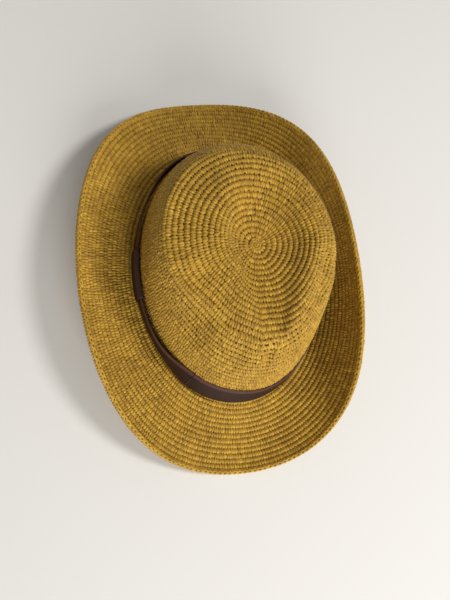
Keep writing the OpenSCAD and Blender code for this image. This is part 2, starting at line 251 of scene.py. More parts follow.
crown_cloth = Cloth(crown_table(), CROWN_THICK / 2)
brim_cloth = Cloth(brim_table())


# ---------------------------------------------------------------- meshes
def make_mesh(name, verts, faces, material):
    """A smooth-shaded mesh object from points in millimetres."""
    me = bpy.data.meshes.new(name)
    verts = np.asarray(verts, np.float32) * MM
    me.vertices.add(len(verts))
    me.vertices.foreach_set("co", verts.ravel())
    sizes = np.array([len(f) for f in faces], np.int32)
    flat = np.concatenate([np.asarray(f, np.int32) for f in faces])
    me.loops.add(len(flat))
    me.loops.foreach_set("vertex_index", flat)
    me.polygons.add(len(sizes))
    starts = np.concatenate([[0], np.cumsum(sizes)[:-1]])
    me.polygons.foreach_set("loop_start", starts.astype(np.int32))
    me.update(calc_edges=True)
    me.validate()
    me.polygons.foreach_set("use_smooth", np.ones(len(me.polygons), bool))
    ob = bpy.data.objects.new(name, me)
    bpy.context.scene.collection.objects.link(ob)
    me.materials.append(material)
    return ob


class Tubes:
    """Many strands of one kind, each the same number of rings of the same number of sides."""

    def __init__(self):
        self.verts, self.faces, self.fibre, self.tint = [], [], [], []
        self.count = 0

    def add(self, centre, across, up, half_width, half_thick, sides, seeds):
        """centre, across and up are (strand, ring, 3); the half sizes are (strand, ring)."""
        strands, rings = centre.shape[:2]
        b = 2 * math.pi * np.arange(sides) / sides
        wide = (half_width[..., None] * across)[:, :, None]
        ring = (centre[:, :, None] + np.cos(b)[None, None, :, None] * wide
                + np.sin(b)[None, None, :, None] * (half_thick[..., None] * up)[:, :, None])
        self.verts.append(ring.reshape(-1, 3))
        start = self.count + np.arange(strands)[:, None, None] * rings * sides
        j = np.arange(rings - 1)[None, :, None] * sides
        i = np.arange(sides)[None, None, :]
        i2 = (i + 1) % sides
        quads = np.stack(np.broadcast_arrays(start + j + i, start + j + i2,
                                             start + j + sides + i2, start + j + sides + i), -1)
        self.faces.extend(quads.reshape(-1, 4).tolist())
        first = (start[:, 0, 0][:, None] + np.arange(sides)[::-1][None]).tolist()
        last = (start[:, 0, 0][:, None] + (rings - 1) * sides + np.arange(sides)[None]).tolist()
        self.faces.extend(first)
        self.faces.extend(last)
        along = np.concatenate([np.zeros((strands, 1)),
                                np.cumsum(np.linalg.norm(np.diff(centre, axis=1), axis=2), 1)], 1)
        fib = np.zeros((strands, rings, sides, 3))
        fib[..., 0] = along[:, :, None] * 0.25
        fib[..., 1] = np.cos(b)[None, None]
        fib[..., 2] = seeds[:, None, None] * 50 + np.sin(b)[None, None] * 0.5
        self.fibre.append(fib.reshape(-1, 3))
        self.tint.append(np.repeat(seeds, rings * sides))
        self.count += strands * rings * sides

    def build(self, name, material):
        ob = make_mesh(name, np.concatenate(self.verts), self.faces, material)
        for label, data, kind in (("fibre", np.concatenate(self.fibre), "FLOAT_VECTOR"),
                                  ("tint", np.concatenate(self.tint), "FLOAT")):
            layer = ob.data.attributes.new(label, kind, "POINT")
            layer.data.foreach_set("vector" if kind == "FLOAT_VECTOR" else "value",
                                   data.astype(np.float32).ravel())
        return ob


def slanted(path, by=0.26):
    """The same path, leaning along the round from its foot to its head."""
    out = path.copy()
    out[:, 0] += by * (path[:, 1] - 0.5)
    return out


def spread(path, rings):
    """A short list of given points made into evenly spaced points on a smooth curve."""
    path = np.asarray(path, float)
    padded = np.vstack([2 * path[0] - path[1], path, 2 * path[-1] - path[-2]])
    fine = []
    for i in range(len(path) - 1):
        p0, p1, p2, p3 = padded[i:i + 4]
        for s in np.linspace(0, 1, 12, endpoint=False):
            fine.append(0.5 * ((2 * p1) + (p2 - p0) * s + (2 * p0 - 5 * p1 + 4 * p2 - p3) * s * s
                               + (3 * p1 - p0 - 3 * p2 + p3) * s ** 3))
    fine.append(path[-1])
    fine = np.array(fine)
    scale = np.array([STITCH, 4.1, 1.0])
    steps = np.linalg.norm(np.diff(fine[:, :3] * scale, axis=0), axis=1)
    d = np.concatenate([[0], np.cumsum(steps)])
    at = np.linspace(0, d[-1], rings)
    return np.stack([np.interp(at, d, fine[:, j]) for j in range(fine.shape[1])], -1)


# One single crochet stitch: (share of a stitch along, share of a round out, millimetres proud,
# half width in millimetres). Two legs arch out of the groove below, so each round reads as a
# plump rope, and a loop lies in the groove above. Where the work is open the legs start
# close together and leave a hole on each side.
RINGS = 9
CORE_PLACE, CORE_HEIGHT, CORE_WIDE, CORE_THICK = 0.52, 0.35, 1.28, 0.95
LEFT_OPEN = spread([(0.00, -0.16, -0.9, 0.50), (-0.07, 0.04, -0.1, 0.62), (-0.17, 0.28, 0.80, 1.0),
                    (-0.24, 0.54, 1.10, 1.2), (-0.27, 0.78, 0.75, 1.15), (-0.30, 1.00, -0.3, 0.72),
                    (-0.30, 1.10, -0.9, 0.5)], RINGS)
RIGHT_OPEN = spread([(0.07, -0.16, -0.9, 0.50), (0.14, 0.04, -0.1, 0.62), (0.23, 0.28, 0.80, 1.0),
                     (0.27, 0.54, 1.15, 1.2), (0.26, 0.78, 0.80, 1.15), (0.22, 1.00, -0.3, 0.72),
                     (0.20, 1.10, -0.9, 0.5)], RINGS)
LEFT_CLOSED = spread([(-0.12, -0.12, -0.7, 0.85), (-0.18, 0.06, 0.1, 1.0), (-0.24, 0.30, 0.80, 1.20),
                      (-0.27, 0.54, 1.05, 1.28), (-0.28, 0.78, 0.75, 1.2), (-0.30, 0.98, -0.1, 0.95),
                      (-0.30, 1.06, -0.7, 0.8)], RINGS)
RIGHT_CLOSED = spread([(0.30, -0.12, -0.7, 0.85), (0.29, 0.06, 0.1, 1.0), (0.27, 0.30, 0.80, 1.20),
                       (0.25, 0.54, 1.10, 1.28), (0.23, 0.78, 0.80, 1.2), (0.21, 0.98, -0.1, 0.95),
                       (0.20, 1.06, -0.7, 0.8)], RINGS)
LEFT_OPEN, RIGHT_OPEN, LEFT_CLOSED, RIGHT_CLOSED = [
    slanted(p) for p in (LEFT_OPEN, RIGHT_OPEN, LEFT_CLOSED, RIGHT_CLOSED)]
TOP_LOOP = spread([(-0.54, 1.0, -0.75, 0.5), (-0.2, 0.97, -0.45, 0.62), (0.2, 1.0, -0.45, 0.62),
                   (0.54, 1.0, -0.75, 0.5)], 5)
BACK_BAR = spread([(-0.56, 0.55, -0.95, 0.8), (-0.2, 0.5, -1.2, 0.9), (0.2, 0.52, -1.2, 0.9),
                   (0.56, 0.58, -0.95, 0.8)], 4)


LOWEST_STITCH = 0.22                        # the spiral stops where a stitch is this share tall


def stitch_places(cloth, first, last, start_angle):
    """Angle, round, width in radians and height in rounds of every stitch along the spiral."""
    places = []
    turn = start_angle
    rng = np.random.default_rng(5)
    while True:
        k = first + (turn - start_angle) / (2 * math.pi)
        tall = min(1, last - k)
        if tall < LOWEST_STITCH:
            return np.array(places)
        width = STITCH / cloth.pace(turn, min(max(k + 0.6, 0.6), cloth.x.shape[1] / FINE - 0.2))
        width *= rng.uniform(0.86, 1.14)
        places.append((turn, k, width, tall))
        turn += width


def waver(t, k):
    """Unevenness of hand work, from -1 to 1, smooth along and across the rounds."""
    return (np.sin(3 * t + 1.7 * k) + np.sin(7 * t - 2.3 * k + 1) + np.sin(13 * t + 0.9 * k + 2)
            + np.sin(29 * t - 3.1 * k + 4)) / 4


def lay(tubes, cloth, places, path, thick, rng, sides=6, wide=1.0):
    """Adds one strand for every stitch. path is (stitch, ring, 4) in the stitch's own square."""
    turn, k, width, tall = places.T
    n, rings = path.shape[:2]
    shift = rng.normal(0, 0.02, n)
    size = rng.normal(1, 0.07, n).clip(0.84, 1.18)[:, None]
    rise = rng.normal(0, 0.1, n)[:, None]
    lean = rng.normal(0.0, 0.04, n)
    a = path[..., 0] + shift[:, None] + lean[:, None] * path[..., 1]
    t = turn[:, None] + a * width[:, None]
    uneven = waver(turn, k)[:, None]
    kk = (k[:, None] + path[..., 1] * tall[:, None] + a * width[:, None] / (2 * math.pi)
          + 0.05 * uneven)
    h = path[..., 2] * size + rise + 0.15 * waver(turn + 2, k * 1.3)[:, None]
    centre = cloth.at(t, kk, h)
    up = unit(cloth.at(t, kk, h + 1) - centre)
    along = unit(np.gradient(centre, axis=1))
    across = unit(np.cross(up, along))
    up = unit(np.cross(along, across))
    half = path[..., 3] * size * wide
    tubes.add(centre, across, up, half, half * thick, sides, rng.random(n))


def crochet(cloth, places, seed, openness, back):
    """openness and back say, for each stitch, how open it is and how wide its back bar is."""
    tubes = Tubes()
    rng = np.random.default_rng(seed)
    n = len(places)
    o = openness(places)[:, None, None]
    lay(tubes, cloth, places, LEFT_CLOSED + o * (LEFT_OPEN - LEFT_CLOSED), 0.56, rng)
    lay(tubes, cloth, places, RIGHT_CLOSED + o * (RIGHT_OPEN - RIGHT_CLOSED), 0.56, rng)
    lay(tubes, cloth, places, np.broadcast_to(TOP_LOOP, (n, *TOP_LOOP.shape)), 0.75, rng, 5)
    lay(tubes, cloth, places, np.broadcast_to(BACK_BAR, (n, *BACK_BAR.shape)), 0.45, rng, 5, back)
    lay_core(tubes, cloth, places, rng)
    return tubes


def lay_core(tubes, cloth, places, rng):
    """The strand the stitches are worked over: it fills each round behind the legs."""
    turn, k, width, tall = places.T
    end = turn[-1] + width[-1]
    t = np.sort(np.concatenate([turn + share * width for share in (0, 1 / 3, 2 / 3)] + [[end]]))
    kk = np.interp(t, np.append(turn, end), np.append(k, k[-1] + width[-1] / (2 * math.pi)))
    kk = kk + CORE_PLACE * np.interp(t, turn, tall)
    kk = kk + 0.05 * waver(t, kk)
    centre = cloth.at(t, kk, np.full(len(t), CORE_HEIGHT))
    up = unit(cloth.at(t, kk, np.full(len(t), CORE_HEIGHT + 1)) - centre)
    along = unit(np.gradient(centre, axis=0))
    across = unit(np.cross(up, along))
    size = rng.normal(1, 0.04, len(t)).clip(0.9, 1.1)
    tubes.add(centre[None], across[None], up[None], CORE_WIDE * size[None],
              CORE_THICK * size[None], 8, np.array([0.42]))


def crown_openness(places):
    """Open round the ridge and on the top, close in the first rounds and down the wall."""
    k = places[:, 1]
    rounds = np.clip((k - 3) / 4, 0, 1) * np.clip((27 - k) / 6, 0, 1)
    return np.clip(rounds * (0.62 + 0.55 * waver(places[:, 0] * 0.4 + 3, k * 0.7)), 0, 1.1)


def brim_openness(places):
    return np.clip(0.12 + 0.2 * waver(places[:, 0] + 1, places[:, 1]), 0, 0.5)


# ---------------------------------------------------------------- materials
def new_material(name):
    m = bpy.data.materials.new(name)
    m.use_nodes = True
    nt = m.node_tree
    return m, nt, nt.nodes["Principled BSDF"]


def node(nt, kind, **values):
    n = nt.nodes.new(kind)
    for key, value in values.items():
        if key.startswith("in_"):
            n.inputs[key[3:].replace("_", " ")].default_value = value
        else:
            setattr(n, key, value)
    return n


def ramp(nt, stops, source):
    r = nt.nodes.new("ShaderNodeValToRGB")
    els = r.color_ramp.elements
    while len(els) < len(stops):
        els.new(0.5)
    for e, (pos, colour) in zip(els, stops):
        e.position = pos
        e.color = (*colour, 1)
    nt.links.new(source, r.inputs["Fac"])
    return r.outputs["Color"]


def mix(nt, a, b, factor, blend="MIX"):
    m = node(nt, "ShaderNodeMix", data_type="RGBA", blend_type=blend)
    for socket, value in ((0, factor), (6, a), (7, b)):
        if isinstance(value, bpy.types.NodeSocket):
            nt.links.new(value, m.inputs[socket])
        else:
            m.inputs[socket].default_value = value
    return m.outputs[2]


def bump(nt, height, strength, distance):
    b = node(nt, "ShaderNodeBump", in_Strength=strength, in_Distance=distance)
    nt.links.new(height, b.inputs["Height"])
    return b.outputs["Normal"]


def raffia(name, dark, mid, light):
    """Split palm-leaf strand: fine streaks along it, and each stitch a little different."""
    m, nt, p = new_material(name)
    fibre = node(nt, "ShaderNodeAttribute", attribute_name="fibre")
    tint = node(nt, "ShaderNodeAttribute", attribute_name="tint")
    where = node(nt, "ShaderNodeTexCoord")
    streaks = node(nt, "ShaderNodeTexNoise", in_Scale=2.6, in_Detail=3.0, in_Roughness=0.6)
    nt.links.new(fibre.outputs["Vector"], streaks.inputs["Vector"])
    patches = node(nt, "ShaderNodeTexNoise", in_Scale=45.0, in_Detail=2.0)
    nt.links.new(where.outputs["Object"], patches.inputs["Vector"])
    base = ramp(nt, [(0.25, dark), (0.5, mid), (0.75, light)], streaks.outputs["Fac"])
    per_stitch = ramp(nt, [(0.0, (0.80, 0.77, 0.70)), (0.5, (1.0, 1.0, 1.0)),
                           (0.9, (1.12, 1.13, 1.2)), (1.0, (1.25, 1.3, 1.6))], tint.outputs["Fac"])
    by_patch = ramp(nt, [(0.35, (0.9, 0.88, 0.82)), (0.65, (1.06, 1.07, 1.1))],
                    patches.outputs["Fac"])
    colour = mix(nt, mix(nt, base, per_stitch, 1.0, "MULTIPLY"), by_patch, 1.0, "MULTIPLY")
    nt.links.new(colour, p.inputs["Base Color"])
    p.inputs["Roughness"].default_value = 0.58
    p.inputs["Specular IOR Level"].default_value = 0.35
    p.inputs["Sheen Weight"].default_value = 0.1
    p.inputs["Sheen Roughness"].default_value = 0.5
    nt.links.new(bump(nt, streaks.outputs["Fac"], 0.5, 0.0003), p.inputs["Normal"])
    return m


def leather(name, dark, light):
    """Smooth leather, mottled, and painted paler along the strap's top edge: a painted highlight,
    with some burnished wear.
    """
    m, nt, p = new_material(name)
    where = node(nt, "ShaderNodeTexCoord")
    grain = node(nt, "ShaderNodeTexVoronoi", in_Scale=1100.0)
    cloud = node(nt, "ShaderNodeTexNoise", in_Scale=60.0, in_Detail=4.0)
    pores = node(nt, "ShaderNodeTexNoise", in_Scale=2500.0, in_Detail=2.0)
    for n in (grain, cloud, pores):
        nt.links.new(where.outputs["Object"], n.inputs["Vector"])
    height = node(nt, "ShaderNodeSeparateXYZ")
    nt.links.new(where.outputs["Object"], height.inputs["Vector"])
    base = ramp(nt, [(0.3, dark), (0.7, light)], cloud.outputs["Fac"])
    # painted highlight: the leather's top strip is mixed toward a far paler colour, standing for
    # light on the rounded edge, with some burnished wear
    highlight_strip = node(nt, "ShaderNodeMapRange")
    highlight_strip.inputs["From Min"].default_value = (BAND_BOTTOM + BAND_WIDTH - BURNISH_AND_HIGHLIGHT) * MM
    highlight_strip.inputs["From Max"].default_value = (BAND_BOTTOM + BAND_WIDTH - BURNISH_AND_HIGHLIGHT / 2) * MM
    nt.links.new(height.outputs["Z"], highlight_strip.inputs["Value"])
    highlight_and_wear = highlight_strip.outputs["Result"]
    colour = mix(nt, base, (*[min(1, c * 2.6) for c in light], 1), highlight_and_wear)
    nt.links.new(colour, p.inputs["Base Color"])
    rough = ramp(nt, [(0.3, (0.50,) * 3), (0.7, (0.64,) * 3)], cloud.outputs["Fac"])
    nt.links.new(rough, p.inputs["Roughness"])
    p.inputs["Specular IOR Level"].default_value = 0.22
    relief_height = mix(nt, grain.outputs["Distance"], pores.outputs["Fac"], 0.4)
    nt.links.new(bump(nt, relief_height, 0.25, 0.0002), p.inputs["Normal"])
    return m


def cloth_material(name, colour, rough=0.8):
    m, nt, p = new_material(name)
    where = node(nt, "ShaderNodeTexCoord")
    weave = node(nt, "ShaderNodeTexWave", in_Scale=700.0, in_Distortion=0.6, bands_direction="Z")
    cloud = node(nt, "ShaderNodeTexNoise", in_Scale=90.0, in_Detail=3.0)
    for n in (weave, cloud):
        nt.links.new(where.outputs["Object"], n.inputs["Vector"])
    base = ramp(nt, [(0.3, tuple(c * 0.82 for c in colour)), (0.7, colour)], cloud.outputs["Fac"])
    nt.links.new(base, p.inputs["Base Color"])
    p.inputs["Roughness"].default_value = rough
    p.inputs["Sheen Weight"].default_value = 0.2
    nt.links.new(bump(nt, weave.outputs["Fac"], 0.4, 0.0002), p.inputs["Normal"])
    return m


def metal_material(name, colour):
    m, nt, p = new_material(name)
    where = node(nt, "ShaderNodeTexCoord")
    scratch = node(nt, "ShaderNodeTexNoise", in_Scale=400.0, in_Detail=3.0)
    nt.links.new(where.outputs["Object"], scratch.inputs["Vector"])
    p.inputs["Base Color"].default_value = (*colour, 1)
    p.inputs["Metallic"].default_value = 1.0
    rough = ramp(nt, [(0.3, (0.3,) * 3), (0.7, (0.5,) * 3)], scratch.outputs["Fac"])
    nt.links.new(rough, p.inputs["Roughness"])
    return m


straw = raffia("straw", (0.30, 0.160, 0.010), (0.51, 0.295, 0.024), (0.70, 0.45, 0.065))
# the rim's raffia is a paler copy of the straw: painted highlight, for the light the rolled edge
# catches
straw_edge = raffia("straw_edge", (0.35, 0.185, 0.012), (0.56, 0.325, 0.028), (0.74, 0.475, 0.065))
brown_leather = leather("brown_leather", (0.019, 0.0085, 0.0055), (0.037, 0.0155, 0.010))
# the keeper's leather is a darker copy of the strap's leather: painted shade, for the shadow the
# keeper sits in
shaded_leather = leather("shaded_leather", (0.012, 0.006, 0.0045), (0.022, 0.0105, 0.0075))
thread = cloth_material("waxed_thread", (0.034, 0.0145, 0.0095), 0.7)
ribbon = cloth_material("ribbon", (0.36, 0.25, 0.11))
tape = cloth_material("plain_tape", (0.72, 0.69, 0.6))
wire_metal = metal_material("wire", (0.42, 0.38, 0.33))


# ---------------------------------------------------------------- crown and brim
def finish_piece(ob, body, slot, *nodes):
    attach(ob, body)
    if nodes:
        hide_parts(*nodes)
    return ob


def in_pieces(places):
    n = max(1, math.ceil(len(places) / LARGEST_PIECE))
    return np.array_split(places, n)


def crochet_pieces(name, cloth, places, seed, openness, back, node_name):
    """Works all of these stitches, in pieces name_1, name_2 and so on."""
    for number, part in enumerate(in_pieces(places)):
        worked = crochet(cloth, part, seed + number, openness, back)
        finish_piece(worked.build(f"{name}_{number + 1}", straw), "hat", "raffia", node_name)


TOP_ROUNDS = 17                             # the rounds inside the ridge
CROWN_BACK, BRIM_BACK = 1.0, 2.3            # how wide the bars behind the stitches are
crown_places = stitch_places(crown_cloth, 0.0, CROWN_ROUNDS, 0.4)
on_top = crown_places[:, 1] < TOP_ROUNDS
crochet_pieces("crown_top", crown_cloth, crown_places[on_top], 10, crown_openness, CROWN_BACK,
               "crown_tip")
crochet_pieces("crown_wall", crown_cloth, crown_places[~on_top], 20, crown_openness, CROWN_BACK,
               "crown_side")

# the crown's start: a strand coiled over the first stitches
COIL_POINTS = 90
knot = Tubes()
coil = np.linspace(0.4 - 2 * math.pi, 0.4 + 2.6 * math.pi, COIL_POINTS)
coil_k = np.linspace(0.02, 1.05, COIL_POINTS)
coil_middle = crown_cloth.at(coil, coil_k, 0.75 + 0.15 * np.sin(coil * 7))
coil_up = unit(crown_cloth.at(coil, coil_k, np.full(COIL_POINTS, 2.0)) - coil_middle)
coil_across = unit(np.cross(coil_up, unit(np.gradient(coil_middle, axis=0))))
knot.add(coil_middle[None], coil_across[None], coil_up[None],
         1.0 + 0.12 * np.sin(coil * 9)[None], 0.8 + 0.08 * np.sin(coil * 11)[None], 8,
         np.array([0.6]))
finish_piece(knot.build("crown_start", straw), "hat", "raffia", "crown_tip")

brim_places = stitch_places(brim_cloth, 0.0, BRIM_ROUNDS, 1.3)
crochet_pieces("brim_rounds", brim_cloth, brim_places, 40, brim_openness, BRIM_BACK, "brim")


# ---------------------------------------------------------------- rim
def rim_frame(t):
    """Middle of the rim at t, the way out and the way up in the upright plane there."""
    centre = brim_cloth.at(t, np.full_like(t, BRIM_ROUNDS), np.zeros_like(t))
    m = base_out(t)
    out = np.concatenate([m, np.zeros_like(m[..., :1])], -1)
    up = np.zeros_like(out)
    up[..., 2] = 1
    slope = brim_slope(t, np.full_like(t, 0.96))[..., None]
    return (centre, out * np.cos(slope) + up * np.sin(slope),
            up * np.cos(slope) - out * np.sin(slope))


def rim_strand(tubes, places, path, rng, sides=6):
    """path: share of a stitch along, degrees round the rim, radius, half width, half thickness."""
    turn, _, width = places.T
    n = len(places)
    size = rng.normal(1, 0.05, n).clip(0.88, 1.12)[:, None]
    t = turn[:, None] + (path[None, :, 0] + rng.normal(0, 0.02, n)[:, None]) * width[:, None]
    b = np.radians(path[None, :, 1] + rng.normal(0, 3, n)[:, None])
    centre, out, up = rim_frame(t)
    radial = np.cos(b)[..., None] * out + np.sin(b)[..., None] * up
    middle = centre + (path[None, :, 2] * np.ones((n, 1)))[..., None] * radial
    along = unit(np.gradient(middle, axis=1))
    across = unit(np.cross(radial, along))
    lift = unit(np.cross(along, across))
    tubes.add(middle, across, lift, path[None, :, 3] * size, path[None, :, 4] * size, sides,
              rng.random(n))


def rim_places():
    places, turn = [], 0.0
    while turn < 2 * math.pi - 0.02:
        width = STITCH / brim_cloth.pace(turn, BRIM_ROUNDS)
        places.append((turn, 0, width))
        turn += width
    places = np.array(places)
    scale = 2 * math.pi / (places[-1, 0] + places[-1, 2])
    places[:, 0] *= scale
    places[:, 2] *= scale
    return places


rim = rim_places()
edge = Tubes()
edge_rng = np.random.default_rng(77)
chain_low = np.array([(s, 0, 1.95, 0.80, 0.62) for s in np.linspace(-0.56, 0.56, 9)])
chain_high = chain_low.copy()
chain_swing = 26 + 14 * np.cos(2 * math.pi * (chain_low[:, 0] - 0.5))
chain_low[:, 1] = 65 - chain_swing
chain_high[:, 1] = 65 + chain_swing
rim_strand(edge, rim, chain_low, edge_rng)
rim_strand(edge, rim, chain_high, edge_rng)
wrap = np.array([(0.10 - 0.2 * s, 50 - 260 * s, 1.75, 0.95, 0.55) for s in np.linspace(0, 1, 9)])
wrap_two = wrap + np.array([0.46, 0, 0, 0, 0])
rim_strand(edge, rim, wrap, edge_rng)
rim_strand(edge, rim, wrap_two, edge_rng)
inner = np.array([(0.2 - 0.3 * s, 88 + 80 * s, 1.75, 1.15, 0.55) for s in np.linspace(0, 1, 5)])
inner_two = inner + np.array([0.5, 0, 0, 0, 0])
rim_strand(edge, rim, inner, edge_rng)
rim_strand(edge, rim, inner_two, edge_rng)
CORE_POINTS, RIM_CORE_R = 401, 1.45
core_turn = np.linspace(0, 2 * math.pi, CORE_POINTS)
core_centre, core_out, core_up = rim_frame(core_turn)
core_half = np.full((1, CORE_POINTS), RIM_CORE_R)
edge.add(core_centre[None], core_out[None], core_up[None], core_half, core_half, 10, np.array([0.3]))
finish_piece(edge.build("rim_round", straw_edge), "hat", "raffia_edge", "brim_edge")


# ---------------------------------------------------------------- leather
BAND_HALF_WIDTH, BAND_HALF_LENGTH = HALF_WIDTH + 1.65, HALF_LENGTH + 0.6
END_Y = BAND_HALF_LENGTH - END_R
SIDE_R = (BAND_HALF_WIDTH ** 2 + END_Y ** 2 - END_R ** 2) / (2 * (BAND_HALF_WIDTH - END_R))
SIDE_X = SIDE_R - BAND_HALF_WIDTH
JOIN = math.atan2(END_Y, SIDE_X)
HALF_TURN = math.pi


def arc(cx, cy, r, a0, a1, steps, last=False):
    """Points of an arc, each with its way out; the last point is left off unless asked for."""
    a = np.linspace(a0, a1, steps + 1)
    a = a if last else a[:-1]
    return np.stack([cx + r * np.cos(a), cy + r * np.sin(a), np.cos(a), np.sin(a)], -1)


def strap_path():
    """Inner face of the strap from one end round to the other, with its way out."""
    gap = math.radians(0.25)
    runs = [arc(SIDE_X, 0, SIDE_R, HALF_TURN + gap, HALF_TURN + JOIN, 60),
            arc(0, -END_Y, END_R, HALF_TURN + JOIN, 2 * HALF_TURN - JOIN, 110),
            arc(-SIDE_X, 0, SIDE_R, -JOIN, JOIN, 120),
            arc(0, END_Y, END_R, JOIN, HALF_TURN - JOIN, 110),
            arc(SIDE_X, 0, SIDE_R, HALF_TURN - JOIN, HALF_TURN - gap, 60, True)]
    path = np.concatenate(runs)
    path[:, 0] += BAND_SHIFT
    return path


HUG_END, HUG_FADE, HUG_CLEAR = 64, 26, 0.45


def wall_inset(t, z):
    """The point of the wall's outside at height z, and the level way out there."""
    a = np.arccos((z / ridge_z(t)) ** (shoulder(t) / 2))
    share = ridge_out(t) + (1 - ridge_out(t)) * np.sin(a) ** (2 / shoulder(t))
    b, n = base_point(t), base_out(t)
    w = TIP[:2] + share[..., None] * (b - TIP[:2])
    return w, n


def strap_lean(path):
    """How far the strap's top edge leans in on the wall, for each point of its inner face."""
    t = np.arctan2(path[:, 1] / HALF_LENGTH, path[:, 0] / HALF_WIDTH)
    s = np.clip((HUG_END - from_front(t)) / HUG_FADE, 0, 1)
    w, n = wall_inset(t, BAND_BOTTOM + BAND_WIDTH)
    inset = ((path[:, :2] - w) * n).sum(-1) - HUG_CLEAR
    return s * s * (3 - 2 * s) * np.maximum(0, inset)


def rounded_section(depth, height, r, steps=4):
    """A rectangle with round corners, about its own middle: (depth, height) points."""
    out = []
    for cx, cy, a0 in ((1, 1, 0), (-1, 1, 90), (-1, -1, 180), (1, -1, 270)):
        for i in range(steps + 1):
            a = math.radians(a0 + 90 * i / steps)
            out.append((cx * (depth / 2 - r) + r * math.cos(a),
                        cy * (height / 2 - r) + r * math.sin(a)))
    return np.array(out)


def sweep(name, path, section, z_middle, depth_middle, material, closed_section=None, lean=None):
    """Sweeps a section along a flat path. With closed_section, the piece is a sleeve."""
    rings = []
    lean = np.zeros(len(path)) if lean is None else lean
    for (x, y, nx, ny), tilt in zip(path, lean):
        h = section[:, 1] + z_middle
        d = section[:, 0] + depth_middle - tilt * (h - BAND_BOTTOM) / BAND_WIDTH
        rings.append(np.stack([x + d * nx, y + d * ny, h], -1))
    n, k = len(section), len(path)
    verts = [np.concatenate(rings)]
    faces = []
    for j in range(k - 1):
        for i in range(n):
            i2 = (i + 1) % n
            faces.append((j * n + i, j * n + i2, (j + 1) * n + i2, (j + 1) * n + i))
    if closed_section is None:
        faces.append(tuple(range(n))[::-1])
        faces.append(tuple((k - 1) * n + i for i in range(n)))
    else:
        first = k * n
        rings = []
        for x, y, nx, ny in path:
            d, h = closed_section[:, 0] + depth_middle, closed_section[:, 1] + z_middle
            rings.append(np.stack([x + d * nx, y + d * ny, h], -1))
        verts.append(np.concatenate(rings))
        for j in range(k - 1):
            for i in range(n):
                i2 = (i + 1) % n
                a = first + j * n
                faces.append((a + i, a + n + i, a + n + i2, a + i2))
        for i in range(n):
            i2 = (i + 1) % n
            faces.append((i, first + i, first + i2, i2))
            a, b = (k - 1) * n, first + (k - 1) * n
            faces.append((a + i, a + i2, b + i2, b + i))
    return make_mesh(name, np.concatenate(verts), faces, material)


strap_run = strap_path()
BAND_MIDDLE = BAND_BOTTOM + BAND_WIDTH / 2
strap = sweep("strap", strap_run, rounded_section(BAND_THICK, BAND_WIDTH, 0.45),
              BAND_MIDDLE, BAND_THICK / 2, brown_leather, lean=strap_lean(strap_run))
finish_piece(strap, "hat", "band_leather", "hat_band")

keeper_half = KEEPER_LENGTH / 2 / SIDE_R
keeper_path = arc(SIDE_X + BAND_SHIFT, 0, SIDE_R, HALF_TURN - keeper_half,
                  HALF_TURN + keeper_half, 60, True)
reach = KEEPER_CLEAR + KEEPER_THICK
outside = rounded_section(BAND_THICK + 2 * reach, BAND_WIDTH + 2 * reach, 1.1)
inside = rounded_section(BAND_THICK + 2 * KEEPER_CLEAR, BAND_WIDTH + 2 * KEEPER_CLEAR, 0.25)
keeper = sweep("keeper", keeper_path, outside, BAND_MIDDLE, BAND_THICK / 2,
               shaded_leather, inside)
finish_piece(keeper, "keeper", "band_leather", "band_keeper")


# ---------------------------------------------------------------- threads
def thread_run(name, points_list, r, body, slot, nodes, plies=2, turns_per_mm=0.35):
    """Twisted thread along each of several paths."""
    tubes = Tubes()
    for index, points in enumerate(points_list):
        points = np.asarray(points, float)
        d = np.concatenate([[0], np.cumsum(np.linalg.norm(np.diff(points, axis=0), axis=1))])
        n = max(8, int(d[-1] / 0.25))
        at = np.linspace(0, d[-1], n)
        centre = np.stack([np.interp(at, d, points[:, j]) for j in range(3)], -1)
        for _ in range(3):
            centre[1:-1] = (centre[:-2] + 2 * centre[1:-1] + centre[2:]) / 4
        along = unit(np.gradient(centre, axis=0))
        side = unit(np.cross(along, np.array([0.31, 0.22, 0.92])))
        up = unit(np.cross(along, side))
        for ply in range(plies):
            a = 2 * math.pi * (at * turns_per_mm + ply / plies)
            offset = r * 0.45 * (np.cos(a)[:, None] * side + np.sin(a)[:, None] * up)
            half = np.full((1, n), r * 0.6)
            tubes.add((centre + offset)[None], side[None], up[None], half, half, 6,
                      np.array([0.37 * index % 1]))
    ob = tubes.build(name, thread)
    return finish_piece(ob, body, slot, *nodes)


low, high = BAND_BOTTOM - 0.4, BAND_BOTTOM + BAND_WIDTH + 0.4
tacks = []
for degrees in (45, 135, 225, 315):
    a = math.radians(degrees)
    cy = END_Y if math.sin(a) > 0 else -END_Y
    foot = np.array([[BAND_SHIFT + END_R * math.cos(a), cy + END_R * math.sin(a)]])
    tilt = strap_lean(foot)[0] / BAND_WIDTH
    points = []
    for d, z in ((-0.3, low), (0.8, low), (BAND_THICK + 0.35, low + 0.5),
                 (BAND_THICK + 0.3, (low + high) / 2), (BAND_THICK + 0.35, high - 0.5),
                 (0.8, high), (-0.3, high)):
        d -= tilt * (z - BAND_BOTTOM)
        points.append((foot[0, 0] + d * math.cos(a), foot[0, 1] + d * math.sin(a), z))
    tacks.append(points)
thread_run("tack_threads", tacks, 0.32, "hat", "thread", ["band_tacks"])

seam = []
back_r = SIDE_R - KEEPER_CLEAR - KEEPER_THICK
for side in (-1, 1):
    a = HALF_TURN + side * (keeper_half - math.radians(1))
    for i in range(4):
        z = BAND_MIDDLE + (i - 1.5) * 2.9
        seam.append([(SIDE_X + BAND_SHIFT + (back_r + d) * math.cos(a),
                      (back_r + d) * math.sin(a), z + dz)
                     for d, dz in ((0.5, -1.0), (-0.1, -0.9), (-0.25, 0), (-0.1, 0.9), (0.5, 1.0))])
thread_run("keeper_threads", seam, 0.22, "keeper", "thread", ["keeper_seam"])


